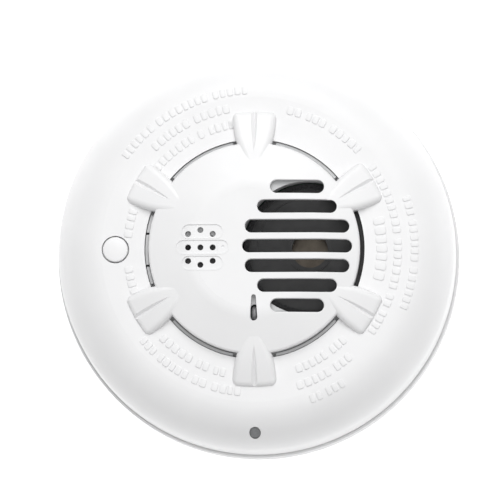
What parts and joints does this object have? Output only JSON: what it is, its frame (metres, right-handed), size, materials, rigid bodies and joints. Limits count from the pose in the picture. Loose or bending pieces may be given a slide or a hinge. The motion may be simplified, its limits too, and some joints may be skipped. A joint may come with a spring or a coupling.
{
  "type": "carbon monoxide detector",
  "caption": "Round ceiling or wall carbon monoxide detector with a horn grille, gas inlets, test button and twist-lock base.",
  "frame": {"origin": "centre of the mounting base's wall face", "axes": "+Z out of the detector's face along the case's axis, +Y up on a wall, +X to the right seen from the front"},
  "size_m": [0.135, 0.135, 0.0509],
  "materials": {
    "cover_white": "fine satin moulding",
    "button_white": "satin",
    "base_white": "fine satin moulding",
    "housing_white": "satin",
    "liner_grey": "matt",
    "horn_black": "matt",
    "foam_black": "open-cell foam",
    "brass": "rolled",
    "ceramic": "silvered ceramic",
    "tin": "tin plated",
    "steel": "zinc plated",
    "cell_black": "satin",
    "silicone_grey": "matt silicone",
    "board_green": "solder mask",
    "chip_black": "moulded",
    "can_silver": "drawn",
    "copper": "drawn wire",
    "coil_black": "varnished",
    "reed_glass": "clear",
    "magnet_nickel": "nickel plated",
    "battery_wrap": "shrink wrap",
    "label_silver": "blank foil",
    "led_lens": "diffused",
    "pipe_clear": "smoky, translucent",
    "bead_grey": "epoxy",
    "switch_black": "moulded",
    "plunger_white": "moulded"
  },
  "bodies": {
    "base": {"mounting_base": "base_white", "base_rim": "base_white", "tamper_magnet": "magnet_nickel"},
    "button": {"test_button": "button_white"},
    "lever": {"button_lever": "liner_grey"},
    "plunger": {"switch_plunger": "plunger_white"},
    "door": {"battery_door": "housing_white"},
    "head": {"front_cover": "cover_white", "back_housing": "housing_white", "housing_drum": "housing_white", "inner_baffle": "liner_grey", "horn_body": "horn_black", "horn_cap": "horn_black", "horn_gasket": "foam_black", "piezo_disc": "brass", "piezo_ceramic": "ceramic", "horn_contacts": "tin", "positive_contact": "tin", "negative_contact": "tin", "radio_shield": "tin", "sensor_pins": "tin", "housing_screws": "steel", "door_hinge_pin": "steel", "co_sensor_cell": "cell_black", "sensor_cap": "cell_black", "sensor_grommet": "silicone_grey", "circuit_board": "board_green", "radio_module": "board_green", "microcontroller": "chip_black", "chip_resistors": "chip_black", "capacitor": "can_silver", "antenna": "copper", "horn_transformer": "coil_black", "reed_switch": "reed_glass", "battery": "battery_wrap", "rating_label": "label_silver", "status_led": "led_lens", "light_pipe": "pipe_clear", "thermistor": "bead_grey", "switch_body": "switch_black"}
  },
  "joints": [
    {"name": "head_twist", "type": "hinge", "parent": "base", "child": "head", "pos_m": [0, 0, 0], "axis": [0, 0, 1], "range_deg": [0, 20]},
    {"name": "test_button_press", "type": "slide", "parent": "head", "child": "button", "axis": [0, 0, -1], "range_m": [0, 0.0006], "stiffness_N_per_m": 2000},
    {"name": "button_lever_turn", "type": "hinge", "parent": "head", "child": "lever", "pos_m": [-0.031, 0, 0.0395], "axis": [0, -1, 0], "range_deg": [0, 2.23]},
    {"name": "switch_plunger_press", "type": "slide", "parent": "head", "child": "plunger", "axis": [0, 0, -1], "range_m": [0, 0.0003]},
    {"name": "battery_door_hinge", "type": "hinge", "parent": "head", "child": "door", "pos_m": [0, -0.0114, 0.0058], "axis": [-1, 0, 0], "range_deg": [0, 100]}
  ],
  "couplings": [
    {"joint": "button_lever_turn", "follows": "test_button_press", "rad_per_m": 64.935},
    {"joint": "switch_plunger_press", "follows": "test_button_press", "ratio": 0.5}
  ]
}
